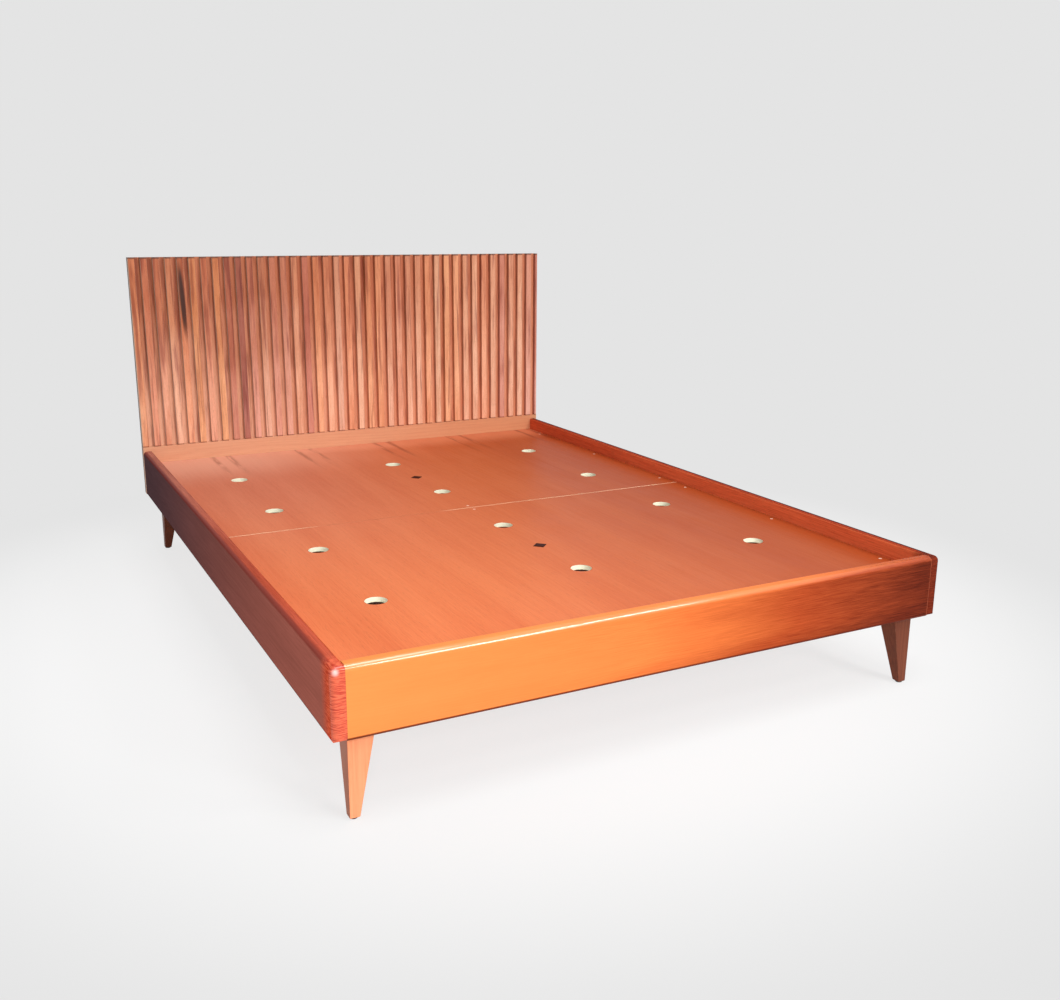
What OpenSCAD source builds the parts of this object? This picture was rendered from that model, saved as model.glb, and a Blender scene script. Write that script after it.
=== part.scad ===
// Slatted wooden double bed.
// A low frame of four rails carries two drilled deck panels on ledgers and three cross bearers.
// Four tapered legs and a centre leg stand under it, and the headboard is a backing
// board with a base board and a row of upright slats on its front. Slats are named in pairs, to
// keep the list of pieces short.
// X runs to the right as seen from the foot, Y towards the headboard, Z up. The origin is on the
// floor under the middle of the bed. All sizes are millimetres.

/* [Mattress well] */
// Clear width between the side rails, for a 1400 mattress
inner_w = 1420; // [900:10:1900]
// Clear length from the foot rail to the headboard, for a 2000 mattress
inner_l = 2000; // [1800:10:2200]
// Depth of the well, from the top edge of the rails down to the deck
well_d = 40; // [20:5:50]

/* [Rails] */
// Thickness of the side and foot rails
rail_t = 27; // [26:1:40]
// Height of the side and foot rails
rail_h = 145; // [135:5:220]
// Radius of the outer top edges and of the two foot corners
rail_round = 12; // [6:1:18]
// Radius of the lower edges at the foot ends of the side rails
rail_low = 8; // [1:1:18]
// Radius of the other long edges
rail_ease = 4; // [1:1:6]
// Clear height under the rails
under_h = 180; // [120:5:300]
// Thickness of the inner cross rail at the head
head_rail_t = 27; // [20:1:40]

/* [Headboard] */
// Height of the headboard above the top edge of the rails
head_over = 630; // [300:10:900]
// Height of the base board above the top edge of the rails
base_over = 14; // [8:1:60]
// Thickness of the backing board
backing_t = 18; // [14:1:30]
// Thickness of the slats and of the base board
slat_t = 15; // [10:1:25]
// Width of a full slat
slat_w = 20; // [14:1:28]
// Width of the last slat, ripped narrow to close the row at the right
end_slat_w = 8; // [6:1:20]
// Number of slats with the narrow one
slat_n = 40; // [30:2:44]
// Radius of the front edges of a slat
slat_ease = 1.5; // [0.5:0.5:3]

/* [Deck] */
// Thickness of the deck panels
deck_t = 15; // [12:1:22]
// Gap between a deck panel and the rails round it
deck_gap = 1; // [0.5:0.5:3]
// Gap of the seam between the two panels
seam_gap = 1.5; // [0.5:0.5:4]
// Diameter of the vent holes
vent_d = 50; // [30:1:70]
// Distance between vent holes along the bed
vent_pitch = 417; // [320:1:440]
// Distance of the outer columns of vent holes from the side rails
vent_side = 200; // [100:5:300]
// Side of the square caps over the middle screw of each panel
cap_w = 27; // [20:1:34]
// Thickness of the caps
cap_t = 4; // [3:0.5:6]
// Height of the caps above the deck
cap_proud = 1; // [0.5:0.5:2]

/* [Support] */
// Width of the ledgers along the rails
ledger_w = 30; // [25:1:40]
// Height of the side ledgers
ledger_h = 40; // [34:1:46]
// Height of the cross bearers
bearer_h = 60; // [50:1:80]
// Width of the bearer under the seam
seam_bearer_w = 70; // [60:1:120]
// Width of the bearers under the caps
cap_bearer_w = 45; // [30:1:70]
// Thickness of the tongues that lie in the ledgers' notches
tongue_t = 20; // [12:1:24]
// Side of the corner blocks that hold the legs
block_w = 85; // [76:1:110]

/* [Legs] */
// Width of a leg at its top
leg_top = 55; // [40:1:62]
// Width of a leg at its foot
leg_foot = 20; // [18:1:35]
// Distance of a leg's upright faces from the inner faces of the rails
leg_inset = 10; // [2:1:12]
// Width of the centre leg at its top
centre_leg_top = 40; // [32:1:40]
// Width of the centre leg at its foot
centre_leg_foot = 28; // [20:1:32]
// Thickness of the glides under the legs
glide_t = 3; // [2:0.5:6]
// Diameter of the glides
glide_d = 16; // [12:1:18]

/* [Fasteners] */
// Diameter of the bolts in the legs and through the headboard
bolt_d = 8; // [6:1:8]
// Depth of a leg bolt in its leg
leg_bolt_down = 45; // [30:1:60]
// Depth of a leg bolt in the block or bearer above the leg
leg_bolt_up = 32; // [20:1:36]
// Diameter of the threaded inserts above the legs
insert_d = 12; // [12:1:15]
// Length of the threaded inserts
insert_l = 15; // [10:1:18]
// Diameter of the flat heads of the bed bolts
bolt_head_d = 20; // [15:1:20]
// Thickness of the flat heads of the bed bolts
bolt_head_t = 3; // [2:0.5:4]
// Height of the lower bed bolts above the bottom of the rails
bolt_low = 30; // [15:1:40]
// Distance of the upper bed bolts below the deck panels
bolt_high = 12; // [8:1:20]
// Distance of the barrel nuts from the end of a side rail
nut_in = 45; // [38:1:70]
// Diameter of the barrel nuts
nut_d = 12; // [12:1:14]
// Length of the barrel nuts
nut_l = 18; // [14:1:19]
// Diameter of the dowels at the rail ends
dowel_d = 10; // [8:1:12]
// Length of the dowels at the rail ends
dowel_l = 40; // [30:1:46]
// Shank diameter of the wood screws
screw_d = 4; // [3:0.5:4.5]
// Length of the deck screws
deck_screw_l = 45; // [30:1:48]
// Length of the ledger screws
ledger_screw_l = 45; // [38:1:48]
// Distance of the deck screws from the side rails
screw_in = 18; // [12:1:22]
// Distance of the end screws from the ends of the deck
screw_end = 115; // [60:5:180]
// Distance of the seam screws from the seam at the side rails
screw_seam = 70; // [45:5:100]
// Distance of the seam screws from the seam in the middle
screw_mid = 22; // [15:1:26]

/* [Hidden] */
$fn = 48;
outer_w = inner_w + 2 * rail_t;
rail_l = rail_t + inner_l;
total_l = rail_l + slat_t + backing_t;
foot_y = -total_l / 2;
well_y = foot_y + rail_t;
head_y = well_y + inner_l;
base_back_y = head_y + slat_t;
back_y = base_back_y + backing_t;
seam_y = well_y + inner_l / 2;
rail_x = inner_w / 2;
rail_mid_x = rail_x + rail_t / 2;
rail_z = under_h;
rail_top_z = rail_z + rail_h;
deck_top_z = rail_top_z - well_d;
deck_z = deck_top_z - deck_t;
base_top_z = rail_top_z + base_over;
head_top_z = rail_top_z + head_over;
ledger_z = deck_z - ledger_h;
bearer_z = deck_z - bearer_h;
head_rail_y = head_y - head_rail_t;
vent_x = rail_x - vent_side;
slat_gap = (outer_w - (slat_n - 1) * slat_w - end_slat_w) / (slat_n - 1);
slat_pitch = slat_w + slat_gap;
slat_l = head_top_z - base_top_z;
leg_mid = leg_inset + leg_top / 2;
fit = 0.15;
skin = 1;
leg_ease = 1.5;
screw_head_d = 2 * screw_d;
screw_head_h = screw_d / 2;
recess_w = 1;
recess_d = 1;
pin_d = 3;
pin_l = 12;
bolt_socket_d = 5;
ledger_screw_share = [0.25, 0.75];
cap_y = [seam_y - vent_pitch, seam_y + vent_pitch];
bearer_y = [cap_y[0], seam_y, cap_y[1]];
bearer_w = [cap_bearer_w, seam_bearer_w, cap_bearer_w];
foot_dowel_share = [0.28, 0.72];
bolt_z = [rail_z + bolt_low, deck_z - bolt_high];
dowel_out = dowel_l / 3;
leg_foot_mid = leg_inset + leg_foot / 2;
bolt_sunk = 1;
board_ease = 3;

ENDS = ["foot", "head"];
BEARERS = ["bearer_foot", "bearer_seam", "bearer_head"];
SIDES = ["left", "right"];
SIGN = [-1, 1];
slat_pairs = slat_n / 2;

rail_colour = [0.72, 0.34, 0.20];
foot_colour = [0.90, 0.53, 0.30];
deck_colour = [0.84, 0.46, 0.29];
backing_colour = [0.80, 0.50, 0.33];
base_colour = [0.91, 0.60, 0.43];
slat_colours = [[0.88, 0.59, 0.47], [0.80, 0.48, 0.38], [0.93, 0.66, 0.52], [0.70, 0.45, 0.37]];
inner_colour = [0.86, 0.72, 0.52];
leg_colour = [0.90, 0.55, 0.40];
cap_colour = [0.30, 0.09, 0.05];
steel_colour = [0.72, 0.73, 0.75];
brass_colour = [0.80, 0.66, 0.36];
dowel_colour = [0.87, 0.75, 0.58];
glide_colour = [0.22, 0.19, 0.18];

function two_digits(n) = n < 10 ? str("0", n) : str(n);
function slats_name(k) = str("slats_", two_digits(2 * k - 1), "_", two_digits(2 * k));
function corner_name(what, end, side) = str(what, "_", ENDS[end], "_", SIDES[side]);
function slat_x(i) = -outer_w / 2 + (i - 1) * slat_pitch;
function slat_width(i) = i < slat_n ? slat_w : end_slat_w;

// Rows of deck screws along the side rails, from the foot to the head.
function deck_rows(end) = let (
        a = seam_y + SIGN[end] * screw_seam,
        b = seam_y + SIGN[end] * (inner_l / 2 - screw_end)
    ) [a, (a + b) / 2, b];
function side_points(end) = [for (s = SIGN, y = deck_rows(end)) [s * (rail_x - screw_in), y]];
// Ledger screws sit halfway between the deck screws.
function ledger_rows() = [
    for (end = [0, 1], i = [0, 1]) (deck_rows(end)[i] + deck_rows(end)[i + 1]) / 2
];
function foot_ledger_xs() = [for (s = SIGN, f = ledger_screw_share) s * f * (rail_x - block_w)];

// What remains of a square corner outside its round, for cutting.
module corner_waste(r) {
    difference() {
        translate([-skin, -skin]) square(r + skin);
        translate([r, r]) circle(r);
    }
}

// Rectangle with its corners rounded in the order lower left, lower right, upper right, upper left.
module eased(w, h, radii) {
    difference() {
        square([w, h]);
        if (radii[0] > 0) corner_waste(radii[0]);
        if (radii[1] > 0) translate([w, 0]) rotate(90) corner_waste(radii[1]);
        if (radii[2] > 0) translate([w, h]) rotate(180) corner_waste(radii[2]);
        if (radii[3] > 0) translate([0, h]) rotate(270) corner_waste(radii[3]);
    }
}

// What remains of a corner towards +X -Y +Z outside the ball that rounds it, for cutting.
module ball_waste(r) {
    difference() {
        translate([0, -r - skin, 0]) cube(r + skin);
        sphere(r);
    }
}

// A drawing of x and z made solid along y.
module along_y(l) {
    translate([0, l, 0]) rotate([90, 0, 0]) linear_extrude(l) children();
}

// A drawing of y and z made solid along x.
module along_x(l) {
    rotate([90, 0, 90]) linear_extrude(l) children();
}

// Mirrors what is drawn for the right side, for side 0.
module on_side(side) {
    if (side == 0) mirror([1, 0, 0]) children();
    else children();
}

// Countersunk wood screw with its head's face at the origin, pointing down. Grow widens it to
// cut its own hole.
module wood_screw(l, grow = 0) {
    shank = screw_d + 2 * grow;
    head = screw_head_d + 2 * grow;
    translate([0, 0, -screw_head_h]) cylinder(d1 = shank, d2 = head, h = screw_head_h);
    translate([0, 0, -l - grow]) cylinder(d = shank, h = l + grow - screw_head_h);
    if (grow > 0) cylinder(d = head, h = skin);
}

// The same screw with a crossed driver recess.
module cross_screw(l) {
    difference() {
        wood_screw(l);
        for (turn = [0, 90]) rotate(turn) translate([0, 0, -recess_d / 2 + skin / 2])
            cube([screw_d, recess_w, recess_d + skin], center = true);
    }
}

// Deck screws

module at_deck_screws(end) {
    for (p = side_points(end)) translate([p.x, p.y, deck_top_z]) children();
    translate([0, seam_y + SIGN[end] * screw_mid, deck_top_z]) children();
}

module at_cap_screw(end) {
    translate([0, cap_y[end], deck_top_z - (cap_t - cap_proud)]) children();
}

module deck_screw_holes() {
    for (end = [0, 1]) {
        at_deck_screws(end) wood_screw(deck_screw_l, fit);
        at_cap_screw(end) wood_screw(deck_screw_l, fit);
    }
}

module deck_screws() {
    color(steel_colour) for (end = [0, 1]) {
        at_deck_screws(end) cross_screw(deck_screw_l);
        at_cap_screw(end) cross_screw(deck_screw_l);
    }
}

// Ledger screws

module at_ledger_screws(side) {
    for (y = ledger_rows()) translate([SIGN[side] * (rail_x - ledger_w), y, deck_z - ledger_h / 2])
        rotate([0, -90 * SIGN[side], 0]) children();
}

module at_foot_ledger_screws() {
    for (x = foot_ledger_xs()) translate([x, well_y + ledger_w, deck_z - ledger_h / 2])
        rotate([-90, 0, 0]) children();
}

module ledger_screws() {
    color(steel_colour) {
        for (side = [0, 1]) at_ledger_screws(side) cross_screw(ledger_screw_l);
        at_foot_ledger_screws() cross_screw(ledger_screw_l);
    }
}

// Dowels between the cross rails and the side rails

// Each place looks outwards from a cross rail's end: two at the foot rail, one at the head rail.
module at_dowels() {
    for (s = SIGN) {
        for (share = foot_dowel_share)
            translate([s * rail_x, foot_y + rail_t / 2, rail_z + share * rail_h])
                rotate([0, 90 * s, 0]) children();
        translate([s * rail_x, head_y - head_rail_t / 2, (bolt_z[0] + bolt_z[1]) / 2])
            rotate([0, 90 * s, 0]) children();
    }
}

// Dowel with a third of its length in the side rail and the rest in the cross rail.
module dowel(grow = 0) {
    translate([0, 0, dowel_out - dowel_l - grow]) cylinder(d = dowel_d + 2 * grow, h = dowel_l + 2 * grow);
}

module rail_dowels() {
    color(dowel_colour) at_dowels() dowel();
}

// Bed bolts through the headboard into the ends of the side rails

module at_bed_bolts() {
    for (s = SIGN, z = bolt_z) translate([s * rail_mid_x, back_y - bolt_sunk, z])
        rotate([90, 0, 0]) children();
}

// Bolt from the underside of its sunk head through the barrel nut.
module bed_bolt(grow = 0) {
    reach = back_y - bolt_sunk - (head_y - nut_in - nut_d / 2);
    head = bolt_head_d + 2 * grow;
    cylinder(d = head, h = bolt_head_t);
    cylinder(d = bolt_d + 2 * grow, h = reach + grow);
    if (grow > 0) translate([0, 0, -bolt_sunk - skin]) cylinder(d = head, h = bolt_sunk + 2 * skin);
}

module bed_bolts() {
    color(steel_colour) at_bed_bolts() difference() {
        bed_bolt();
        translate([0, 0, -skin]) cylinder(d = bolt_socket_d / cos(30), h = bolt_head_t / 2 + skin, $fn = 6);
    }
}

module at_barrel_nuts() {
    for (s = SIGN, z = bolt_z) translate([s * rail_mid_x, head_y - nut_in, z])
        rotate([0, -90 * s, 0]) children();
}

module barrel_nuts() {
    color(steel_colour) difference() {
        at_barrel_nuts() translate([0, 0, -nut_l / 2]) cylinder(d = nut_d, h = nut_l);
        at_bed_bolts() bed_bolt(fit);
    }
}

// Bores from the inner faces of the side rails, closed later by the ledgers and corner blocks.
module barrel_nut_bores() {
    l = (nut_l + rail_t) / 2 + fit + skin;
    at_barrel_nuts() translate([0, 0, -nut_l / 2 - fit]) cylinder(d = nut_d + 2 * fit, h = l);
}

// Rails

module rail_holes() {
    at_dowels() dowel(fit);
    at_bed_bolts() bed_bolt(fit);
    barrel_nut_bores();
    for (side = [0, 1]) at_ledger_screws(side) wood_screw(ledger_screw_l, fit);
    at_foot_ledger_screws() wood_screw(ledger_screw_l, fit);
}

// The side rails run past the foot rail, so their rounded end grain shows at the foot corners.
module side_rail(side) {
    color(rail_colour) difference() {
        on_side(side) translate([rail_x, foot_y, rail_z]) difference() {
            intersection() {
                along_y(rail_l) eased(rail_t, rail_h, [rail_ease, rail_ease, rail_round, rail_ease]);
                linear_extrude(rail_h) eased(rail_t, rail_l, [0, rail_round, 0, 0]);
                along_x(rail_t) eased(rail_l, rail_h, [rail_low, 0, 0, rail_round]);
            }
            translate([rail_t - rail_round, rail_round, rail_h - rail_round]) ball_waste(rail_round);
        }
        rail_holes();
    }
}

module foot_rail() {
    color(foot_colour) difference() {
        translate([-rail_x, foot_y, rail_z]) along_x(inner_w)
            eased(rail_t, rail_h, [rail_ease, rail_ease, rail_ease, rail_round]);
        rail_holes();
    }
}

module head_rail() {
    color(inner_colour) difference() {
        translate([-rail_x, head_rail_y, rail_z]) along_x(inner_w)
            eased(head_rail_t, deck_z - rail_z, [board_ease, 0, 0, 0]);
        rail_holes();
    }
}

// Headboard

module headboard_backing() {
    color(backing_colour) difference() {
        translate([-outer_w / 2, base_back_y, rail_z]) linear_extrude(head_top_z - rail_z)
            eased(outer_w, backing_t, [0, 0, board_ease, board_ease]);
        at_bed_bolts() bed_bolt(fit);
    }
}

module headboard_base_board() {
    color(base_colour) difference() {
        translate([-outer_w / 2, head_y, rail_z]) along_x(outer_w)
            eased(slat_t, base_top_z - rail_z, [board_ease, 0, 0, 0]);
        at_bed_bolts() bed_bolt(fit);
    }
}

module slat(i) {
    color(slat_colours[i % len(slat_colours)]) translate([slat_x(i), head_y, base_top_z])
        linear_extrude(slat_l) eased(slat_width(i), slat_t, [slat_ease, slat_ease, 0, 0]);
}

module slat_pair(k) {
    slat(2 * k - 1);
    slat(2 * k);
}

// Deck

module deck_panel(end) {
    l = inner_l / 2 - deck_gap - seam_gap / 2;
    y = end == 0 ? well_y + deck_gap : seam_y + seam_gap / 2;
    color(deck_colour) difference() {
        translate([-rail_x + deck_gap, y, deck_z]) cube([inner_w - 2 * deck_gap, l, deck_t]);
        for (x = [-vent_x, 0, vent_x], row = [0.5, 1.5])
            translate([x, seam_y + SIGN[end] * row * vent_pitch, deck_z - skin])
                cylinder(d = vent_d, h = deck_t + 2 * skin);
        at_cap(end) linear_extrude(cap_t + skin) square(cap_w + 2 * fit, center = true);
        at_deck_screws(end) wood_screw(deck_screw_l, fit);
        at_cap_screw(end) wood_screw(deck_screw_l, fit);
    }
}

module at_cap(end) {
    translate([0, cap_y[end], deck_top_z + cap_proud - cap_t]) rotate(45) children();
}

// Square cap turned to a diamond, with bevelled top edges.
module centre_cap(end) {
    color(cap_colour) at_cap(end) {
        linear_extrude(cap_t - cap_proud) square(cap_w, center = true);
        translate([0, 0, cap_t - cap_proud]) tapered_post(cap_w, cap_w - 2 * cap_proud, cap_proud);
    }
}

// Square post with the width a at its bottom and b at its top.
module tapered_post(a, b, h) {
    side = [[-a / 2, 0], [a / 2, 0], [b / 2, h], [-b / 2, h]];
    long = max(a, b);
    intersection() {
        translate([-long / 2, 0, 0]) along_x(long) polygon(side);
        translate([0, -long / 2, 0]) along_y(long) polygon(side);
    }
}

// Supports under the deck

// Notched for the tongues of the bearers.
module side_ledger(side) {
    notch_l = inner_w + 2 * skin;
    color(inner_colour) difference() {
        on_side(side) translate([rail_x - ledger_w, well_y, ledger_z])
            cube([ledger_w, inner_l - head_rail_t, ledger_h]);
        for (i = [0, 1, 2])
            translate([-notch_l / 2, bearer_y[i] - bearer_w[i] / 2 - fit, deck_z - tongue_t])
                cube([notch_l, bearer_w[i] + 2 * fit, tongue_t + skin]);
        at_ledger_screws(side) wood_screw(ledger_screw_l, fit);
        deck_screw_holes();
    }
}

// Lies between the side ledgers, on the corner blocks.
module ledger_foot() {
    l = inner_w - 2 * ledger_w;
    color(inner_colour) difference() {
        translate([-l / 2, well_y, ledger_z]) cube([l, ledger_w, ledger_h]);
        at_foot_ledger_screws() wood_screw(ledger_screw_l, fit);
    }
}

// Bearer across the bed, flush with the ledgers' tops, with a tongue at each end.
module bearer(i) {
    l = inner_w - 2 * ledger_w;
    tongue_l = inner_w - 2 * fit;
    color(inner_colour) difference() {
        translate([0, bearer_y[i] - bearer_w[i] / 2, 0]) union() {
            translate([-l / 2, 0, bearer_z]) cube([l, bearer_w[i], bearer_h]);
            translate([-tongue_l / 2, 0, deck_z - tongue_t]) cube([tongue_l, bearer_w[i], tongue_t]);
        }
        deck_screw_holes();
        translate([0, seam_y, bearer_z]) leg_bolt_holes();
    }
}

// Legs

// Corner of the mattress well that a leg stands under, turned so that the well lies towards +X +Y.
module at_corner(end, side) {
    y = end == 0 ? well_y : head_rail_y;
    translate([SIGN[side] * rail_x, y, 0]) mirror([side, 0, 0]) mirror([0, end, 0]) children();
}

module corner_block(end, side) {
    color(inner_colour) at_corner(end, side) difference() {
        translate([0, 0, rail_z]) cube([block_w, block_w, ledger_z - rail_z]);
        translate([leg_mid, leg_mid, rail_z]) leg_bolt_holes();
    }
}

// Leg with two upright faces to the outside and two tapered faces to the inside.
module leg(end, side) {
    h = under_h - glide_t;
    profile = [
        [leg_ease, 0], [leg_foot - leg_ease, 0], [leg_foot, leg_ease],
        [leg_top, h], [0, h], [0, leg_ease]
    ];
    color(leg_colour) at_corner(end, side) difference() {
        translate([leg_inset, leg_inset, glide_t]) intersection() {
            along_x(leg_top) polygon(profile);
            along_y(leg_top) polygon(profile);
        }
        translate([leg_mid, leg_mid, rail_z]) leg_bolt_holes();
        translate([leg_foot_mid, leg_foot_mid, glide_t]) glide_pin(fit);
    }
}

module centre_leg() {
    color(inner_colour) difference() {
        translate([0, seam_y, glide_t]) tapered_post(centre_leg_foot, centre_leg_top, bearer_z - glide_t);
        translate([0, seam_y, bearer_z]) leg_bolt_holes();
        translate([0, seam_y, glide_t]) glide_pin(fit);
    }
}

module glide_pin(grow = 0) {
    translate([0, 0, -skin]) cylinder(d = pin_d + 2 * grow, h = pin_l + skin + grow);
}

module glide() {
    cylinder(d = glide_d, h = glide_t);
    translate([0, 0, glide_t]) glide_pin();
}

module leg_glides() {
    color(glide_colour) {
        for (end = [0, 1], side = [0, 1]) at_corner(end, side)
            translate([leg_foot_mid, leg_foot_mid, 0]) glide();
        translate([0, seam_y, 0]) glide();
    }
}

// Places of the five leg bolts, each at the top of its leg.
module at_leg_bolts() {
    for (end = [0, 1], side = [0, 1]) at_corner(end, side)
        translate([leg_mid, leg_mid, rail_z]) children();
    translate([0, seam_y, bearer_z]) children();
}

module leg_bolt(grow = 0) {
    l = leg_bolt_down + leg_bolt_up + 2 * grow;
    translate([0, 0, -leg_bolt_down - grow]) cylinder(d = bolt_d + 2 * grow, h = l);
}

module leg_bolt_holes() {
    leg_bolt(fit);
    cylinder(d = insert_d + 2 * fit, h = insert_l + fit);
}

module leg_bolts() {
    color(steel_colour) at_leg_bolts() leg_bolt();
}

// Threaded sleeves in the blocks and in the seam bearer, round the bolts.
module leg_inserts() {
    color(brass_colour) at_leg_bolts() difference() {
        cylinder(d = insert_d, h = insert_l);
        leg_bolt(fit);
    }
}

// The pieces, one by one

side_rail(0);  // side_rail_left
side_rail(1);  // side_rail_right
foot_rail();
head_rail();
headboard_backing();
headboard_base_board();
for (k = [1:slat_pairs]) slat_pair(k);
deck_panel(0);  // deck_panel_foot
deck_panel(1);  // deck_panel_head
centre_cap(0);  // centre_cap_foot
centre_cap(1);  // centre_cap_head
side_ledger(0);  // ledger_left
side_ledger(1);  // ledger_right
ledger_foot();
for (i = [0, 1, 2]) bearer(i);
for (end = [0, 1], side = [0, 1]) {
    corner_block(end, side);
    leg(end, side);
}
centre_leg();
leg_glides();
leg_bolts();
leg_inserts();
bed_bolts();
barrel_nuts();
rail_dowels();
deck_screws();
ledger_screws();
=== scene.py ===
# %% [markdown]
# # Dressing a slatted wooden bed
#
# The bed stands in the frame already: rails, deck, headboard strips, legs and everything hidden
# underneath are exact solids. What they lack is the look of lacquered wood. This lesson gives each
# piece the finish that the real one has, adds a floor and soft studio light, and sets the camera
# at the angle of the reference picture.
#
# The order is always the same: say what the real thing is, choose a way to make it, make it, and
# print what came out.

# %% Load the bed
import math

import bmesh
import bpy
from mathutils import Matrix, Vector


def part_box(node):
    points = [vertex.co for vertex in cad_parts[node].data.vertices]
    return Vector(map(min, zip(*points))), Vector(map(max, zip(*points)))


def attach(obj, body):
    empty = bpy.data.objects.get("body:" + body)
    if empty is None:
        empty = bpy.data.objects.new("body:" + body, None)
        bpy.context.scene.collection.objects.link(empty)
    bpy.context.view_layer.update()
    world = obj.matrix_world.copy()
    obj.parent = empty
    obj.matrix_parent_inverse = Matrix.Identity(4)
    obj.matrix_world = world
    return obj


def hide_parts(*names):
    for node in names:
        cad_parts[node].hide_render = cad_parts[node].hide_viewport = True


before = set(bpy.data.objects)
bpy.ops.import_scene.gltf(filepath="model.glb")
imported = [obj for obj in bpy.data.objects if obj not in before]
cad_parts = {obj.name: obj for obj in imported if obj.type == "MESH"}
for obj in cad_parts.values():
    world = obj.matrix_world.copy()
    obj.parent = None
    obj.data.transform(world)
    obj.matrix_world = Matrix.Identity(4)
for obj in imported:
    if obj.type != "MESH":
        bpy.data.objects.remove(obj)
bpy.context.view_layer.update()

# %% [markdown]
# ## Sizes that the finishes need
#
# A finish often has to know where it is: where the row of strips starts, how high the deck lies.
# These are read from the solids, so they can't drift apart from them.

# %% Read the sizes
rail_lo, rail_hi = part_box("side_rail_right")
foot_lo, foot_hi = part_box("foot_rail")
deck_lo, deck_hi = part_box("deck_panel_foot")
strip_lo, strip_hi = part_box("slats_01_02")

half_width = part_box("headboard_backing")[1].x
strip_pitch = (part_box("slats_03_04")[0].x - strip_lo.x) / 2
print("strip pitch:", round(strip_pitch, 4), "half width:", round(half_width, 4))

# %% [markdown]
# ## The camera
#
# The bed is seen from the left of its foot, from a little over a metre above the floor. The place,
# the three angles and the focal length come from lining up straight edges of the bed with the
# picture. A camera is a matrix: its columns point right, up and backwards.

# %% Place the camera
camera_place = Vector((-1.2517, -2.7588, 1.0832))
turn = math.radians(27.608)
tilt = math.radians(14.39)
roll = math.radians(0.356)
focal_length = 37.26

forward = Vector((
    math.sin(turn) * math.cos(tilt),
    math.cos(turn) * math.cos(tilt),
    -math.sin(tilt),
))
level_right = Vector((math.cos(turn), -math.sin(turn), 0.0))
level_up = level_right.cross(forward)
right = level_right * math.cos(roll) + level_up * math.sin(roll)
up = level_up * math.cos(roll) - level_right * math.sin(roll)

camera_data = bpy.data.cameras.new("photo_camera")
camera_data.lens = focal_length
camera_data.sensor_width = 36.0
camera = bpy.data.objects.new("photo_camera", camera_data)
bpy.context.scene.collection.objects.link(camera)
facing = Matrix((right, up, -forward)).transposed().to_4x4()
camera.matrix_world = Matrix.Translation(camera_place) @ facing
bpy.context.scene.camera = camera
bpy.context.scene.view_settings.view_transform = "Standard"
print("camera at", [round(v, 3) for v in camera.location])

# %% [markdown]
# ## Small helpers for shader trees
#
# A finish is a tree of nodes. Writing each link out is long, so `put` adds one node and `feed`
# fills its sockets: a plain value is set, and another node's output is linked.

# %% Helpers for nodes
def feed(tree, node, inputs):
    """Fills a node's sockets with plain values or with other nodes' outputs."""
    for name, value in inputs.items():
        if isinstance(value, bpy.types.NodeSocket):
            tree.links.new(value, node.inputs[name])
        else:
            node.inputs[name].default_value = value


def put(tree, kind, inputs=None, **settings):
    """Adds a shader node, sets its settings and fills its sockets."""
    node = tree.nodes.new("ShaderNode" + kind)
    for name, value in settings.items():
        setattr(node, name, value)
    feed(tree, node, inputs or {})
    return node


def paint(red, green, blue):
    """A colour as a screen shows it, 0 to 255, in the linear values that shaders use."""
    def linear(part):
        part = part / 255
        return part / 12.92 if part <= 0.04045 else ((part + 0.055) / 1.055) ** 2.4
    return (linear(red), linear(green), linear(blue), 1.0)


def maths(tree, operation, *values, clamp=False):
    """One sum on numbers or outputs."""
    node = put(tree, "Math", dict(enumerate(values)), operation=operation, use_clamp=clamp)
    return node.outputs[0]


WHITE = (1.0, 1.0, 1.0, 1.0)
print("lacquered orange is", [round(v, 3) for v in paint(230, 125, 78)])

# %% [markdown]
# Most of the nodes here do one of a few things, and each gets a short name of its own. Some blend
# colours, tint them or run through them.

# %% Helpers for colours
def mix(tree, share, first, second, way="MIX"):
    """Blends two colours by a share from 0 to 1."""
    node = put(tree, "Mix", {0: share, 6: first, 7: second}, data_type="RGBA", blend_type=way)
    return node.outputs[2]


def tinted(tree, colour, tint):
    """A colour times a tint, as under a coloured glaze."""
    return mix(tree, 1.0, colour, tint, "MULTIPLY")


def scaled(tree, colour, factor):
    """A colour made brighter or darker by a factor."""
    return put(tree, "VectorMath", {0: colour, "Scale": factor}, operation="SCALE").outputs[0]


def ramp(tree, value, stops):
    """Runs through several colours, each with its place from 0 to 1."""
    node = put(tree, "ValToRGB", {"Fac": value})
    while len(node.color_ramp.elements) < len(stops):
        node.color_ramp.elements.new(0.5)
    for element, (place, colour) in zip(node.color_ramp.elements, stops):
        element.position = place
        element.color = colour
    return node.outputs["Color"]


print("for colours:", ", ".join(helper.__name__ for helper in (mix, tinted, scaled, ramp)))

# %% [markdown]
# Others make masks. A mask is a value from 0 to 1 that says where something shows. `fade` and
# `near_value` make one from a place or a direction. `noise` draws a random one, and on a
# `stretched` vector its spots become lines.

# %% Helpers for masks
def fade(tree, value, start, end, low=0.0, high=1.0):
    """Runs smoothly from low to high while the value goes from start to end."""
    node = put(
        tree, "MapRange",
        {"Value": value, "From Min": start, "From Max": end, "To Min": low, "To Max": high},
        interpolation_type="SMOOTHSTEP",
    )
    return node.outputs["Result"]


def near_value(tree, value, middle, spread):
    """1 where a value is at the middle, falling smoothly to 0 at the spread on both sides."""
    away = maths(tree, "ABSOLUTE", maths(tree, "SUBTRACT", value, middle))
    return fade(tree, away, 0.0, spread, 1.0, 0.0)


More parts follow.
